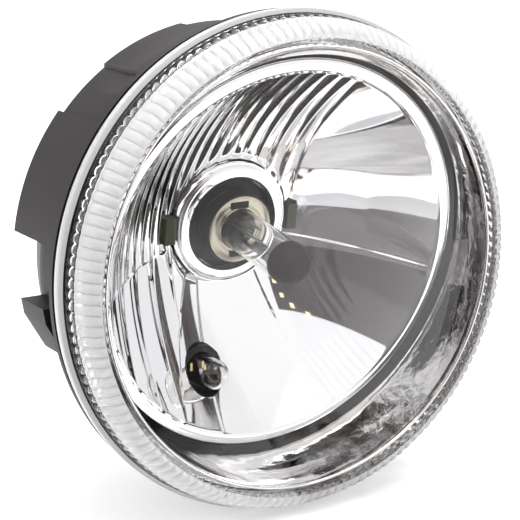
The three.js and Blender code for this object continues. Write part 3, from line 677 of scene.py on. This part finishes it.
def build_housing():
    """Moulded case with raised blocks, lugs, neck and service opening."""
    edges = sorted(a for block in RAISED for a in block[:2])
    edge_sides = [a + offset for a in edges for offset in (-0.25, 0.25)]
    angles = sorted(set([i * 1.5 for i in range(240)] + edge_sides))
    neck = [(NECK_RADIUS, BARREL_END), (NECK_RADIUS, 60), (NECK_RADIUS - 0.6, 60.6),
            (NECK_RADIUS - 0.6, NECK_END)]
    opening = [(51, NECK_END), (51, NECK_END - PLASTIC_WALL), (57.5, NECK_END - PLASTIC_WALL)]
    inside = [(57.5, 46), (72.3, 46), (78.5, 29.5), (78.5, 5), (LEDGE_RADIUS, 5)]
    ledge = [(LEDGE_RADIUS, 2.5), (89.4, 2.5), (89.4, 5), (BARREL_RADIUS, 5)]
    points = []
    for degrees in angles:
        c, s = math.cos(math.radians(degrees)), math.sin(math.radians(degrees))
        profile = ledge + barrel_back(degrees) + neck + opening + inside
        points += [(r * c, y, r * s) for r, y in profile]
    rows = len(points) // len(angles)
    piece = mesh_piece("housing_shell", points, loop_faces(len(angles), rows), materials["housing_plastic"],
                       "housing", 30)
    for tool in lug_solids():
        combine(piece, tool, "UNION")
    through_lug, through_back = (6, 36), (36, 58)
    bores = [(3.0, -SIDE_LUG_X, SIDE_LUG_Z, through_lug), (3.0, SIDE_LUG_X, SIDE_LUG_Z, through_lug),
             (3.0, 0, BOTTOM_LUG_Z, through_lug), (2.6, -PIVOT_X, PIVOT_Z, through_back),
             (2.6, PIVOT_X, PIVOT_Z, through_back), (4.9, 0, AIM_Z, through_back),
             (3.3, VENT_X, VENT_Z, through_back)]
    for radius, x, z, depth in bores:
        combine(piece, helper_bar(radius, *depth, x, z, 32), "DIFFERENCE")
    modify(piece, "BEVEL", width=0.45 * MM, segments=2, limit_method="ANGLE", angle_limit=math.radians(35),
           use_clamp_overlap=True)
    piece.data.set_sharp_from_angle(angle=math.radians(40))
    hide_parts("rear_housing")


def lug_solids():
    """Two side lugs with sloping undersides and the plain bottom lug."""
    root = 77   # the lugs' inner ends lie within the barrel
    outline = [(root, LUG_TOP_Z), (LUG_OUTER, LUG_TOP_Z), (87.6, -13.0), (80.0, -26.0), (root, -26.0)]
    count = len(outline)
    caps = [tuple(range(count)), tuple(range(2 * count - 1, count - 1, -1))]
    sides = [(i, (i + 1) % count, count + (i + 1) % count, count + i) for i in range(count)]
    solids = []
    for side in (-1, 1):
        points = [(side * x, y, z) for y in (LUG_FRONT, LUG_BACK) for x, z in outline]
        solids.append(mesh_piece("helper", points, caps + sides, materials["black_plastic"], None))
    bottom = helper_block((-LUG_HALF_WIDTH, LUG_FRONT, -LUG_OUTER), (LUG_HALF_WIDTH, LUG_BACK, -root))
    solids.append(bottom)
    return solids


# ---------------------------------------------------------------- carried-over CAD nodes
def dress_cad_nodes():
    """Materials, soft edges and smooth shading for the CAD nodes that stay visible."""
    for entry in frame["record"]["subparts"]:
        node = frame["nodes"][entry["node"]]
        node.data.materials.clear()
        node.data.materials.append(materials[entry["material_slot"]])
        node.data.shade_smooth()
        node.data.set_sharp_from_angle(angle=math.radians(38))
        edge = node.modifiers.new("edge", "BEVEL")
        edge.width = 0.2 * MM
        edge.segments = 2
        edge.limit_method = "ANGLE"
        edge.angle_limit = math.radians(40)


# ---------------------------------------------------------------- stage, light and camera
CARD_RADIUS = 520


def stage_mesh(name, points, faces, material):
    piece = mesh_piece(name, points, faces, material, None)
    return piece


def card(name, points, faces, look):
    """A card that shows only in reflections."""
    piece = stage_mesh(name, points, faces, look)
    piece.visible_camera = False
    piece.visible_diffuse = False
    piece.visible_shadow = False


def sector_points(start, stop, steps, low, high):
    """Pairs of points along an arc around the lamp; low and high are (radius, height)."""
    points = []
    for i in range(steps + 1):
        a = math.radians(start + (stop - start) * i / steps)
        points += [(r * math.sin(a), -r * math.cos(a), z) for r, z in (low, high)]
    return points, [(2 * i, 2 * i + 2, 2 * i + 3, 2 * i + 1) for i in range(steps)]


def build_stage():
    """Pale floor, and cards that stand for the room the mirrors show."""
    floor_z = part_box("lens")[0].z / MM - 0.2
    floor_look = surface("floor", (0.7, 0.7, 0.7), 0.6, 0.0, 0.01, 0.03, 40, 0.01,
                         Emission_Color=(1, 1, 1, 1), Emission_Strength=0.45)
    half = 4000
    stage_mesh("floor", rectangle(-half, half, -half, half, floor_z), [(0, 1, 2, 3)], floor_look)
    build_cards(floor_z)


def rectangle(x0, x1, y0, y1, z):
    return [(x0, y0, z), (x1, y0, z), (x1, y1, z), (x0, y1, z)]


def build_cards(floor_z):
    """Upright cards stand CARD_RADIUS from the lamp, and the floor cards lie in rings just above the floor."""
    dark_look = surface("dark_card", (0.026, 0.018, 0.022), 0.8, 0.0, 0.4, 0.1, 8, 0.0, cloud=6.0)
    grey_look = surface("grey_card", (0.085, 0.075, 0.08), 0.8, 0.0, 0.5, 0.1, 8, 0.0, cloud=9.0)
    pale_look = surface("pale_card", (0.4, 0.4, 0.41), 0.8, 0.0, 0.4, 0.1, 8, 0.0, cloud=14.0)
    light_look = surface("light_card", (0.62, 0.62, 0.63), 0.8, 0.0, 0.05, 0.1, 8, 0.0, cloud=6.0)
    foot = (CARD_RADIUS, floor_z + 1)
    card("dark_card", *sector_points(-80, -3, 24, foot, (CARD_RADIUS, 276)), dark_look)
    card("side_card", *sector_points(64, 112, 12, foot, (CARD_RADIUS, 330)), dark_look)
    warm_look = surface("warm_card", (0.8, 0.55, 0.3), 0.8, 0.0, 0.3, 0.1, 8, 0.0,
                        Emission_Strength=0.7, Emission_Color=(1, 0.72, 0.42, 1))
    warm_radius, warm_turn, warm_height = CARD_RADIUS - 5, 2.2, 22
    for number, (turn, z) in enumerate([(-13, 235), (-20, 262), (-7, 120), (-9, 190), (-58, 150)]):
        strip = sector_points(turn, turn + warm_turn, 2, (warm_radius, z), (warm_radius, z + warm_height))
        card(f"warm_card_{number}", *strip, warm_look)
    outer = (CARD_RADIUS - 1, floor_z + 0.8)
    card("side_floor_card", *sector_points(66, 150, 24, (96, floor_z + 0.6), outer), grey_look)
    card("grey_card", *sector_points(-95, -2, 24, (92, floor_z + 0.6), outer), grey_look)
    card("pale_card", *sector_points(-95, -2, 24, (66, floor_z + 0.5), (92, floor_z + 0.6)), pale_look)
    card("upper_card", *sector_points(-62, -8, 24, (CARD_RADIUS, 277), (CARD_RADIUS, 690)), light_look)
    corners = [(-2, -63), (90, -63), (90, 30), (4, 30)]
    card("mottled_card", [(x, y, floor_z + 0.1) for x, y in corners], [(0, 1, 2, 3)], mottled())


def mottled():
    """Pale ground broken by dark patches with warm flecks along their edges."""
    material, nodes, links, shader = node_tree("mottled_card")
    field = noise_field(nodes, links, 75.0, 3.0)
    ramp = nodes.new("ShaderNodeValToRGB")
    stops = ramp.color_ramp.elements
    dark, ground = stops[0], stops[1]
    dark.color = (0.03, 0.026, 0.028, 1)
    ground.color = (0.9, 0.9, 0.9, 1)
    stops.new(0.44).color = (0.04, 0.036, 0.038, 1)
    stops.new(0.475).color = (0.62, 0.45, 0.3, 1)
    stops.new(0.49).color = (0.85, 0.84, 0.83, 1)
    links.new(field, ramp.inputs["Fac"])
    links.new(ramp.outputs["Color"], shader.inputs["Base Color"])
    shader.inputs["Roughness"].default_value = 0.8
    return material


def build_light():
    """White surroundings and two soft area lamps that don't show in the mirrors."""
    scene = bpy.context.scene
    world = bpy.data.worlds.new("studio")
    scene.world = world
    world.use_nodes = True
    background = world.node_tree.nodes["Background"]
    background.inputs["Color"].default_value = (1, 1, 1, 1)
    background.inputs["Strength"].default_value = 1.06
    lamps = [("softbox_top", (0.2, -0.3, 1.5), 1.4, 30), ("softbox_left", (-1.6, 0.5, 0.8), 0.9, 10)]
    for name, place, size, power in lamps:
        data = bpy.data.lights.new(name, "AREA")
        data.size = size
        data.energy = power
        lamp = bpy.data.objects.new(name, data)
        lamp.location = place
        lamp.visible_glossy = False
        lamp.rotation_euler = (Vector((0, 0, 0)) - Vector(place)).to_track_quat("-Z", "Y").to_euler()
        scene.collection.objects.link(lamp)
    scene.view_settings.view_transform = "Standard"


def build_camera():
    """Looks almost at the rim's centre, from in front, towards -X and a little above."""
    azimuth, elevation, distance = math.radians(-31.5), math.radians(14), 0.620
    back = Vector((math.sin(azimuth) * math.cos(elevation), -math.cos(azimuth) * math.cos(elevation),
                   math.sin(elevation)))
    right = Vector((math.cos(azimuth), math.sin(azimuth), 0))
    up = back.cross(right)
    aim = right * -0.0089 + up * 0.0008
    data = bpy.data.cameras.new("camera")
    data.lens = 121
    data.sensor_width = 36
    data.clip_start = 0.05
    camera = bpy.data.objects.new("camera", data)
    camera.location = aim + back * distance
    camera.rotation_euler = (-back).to_track_quat("-Z", "Y").to_euler()
    bpy.context.scene.collection.objects.link(camera)
    bpy.context.scene.camera = camera


build_camera()
dress_cad_nodes()
build_lens()
build_bezel()
build_reflector()
build_collar()
build_cap()
build_main_bulb()
build_position_bulb()
build_clip()
build_housing()
build_stage()
build_light()
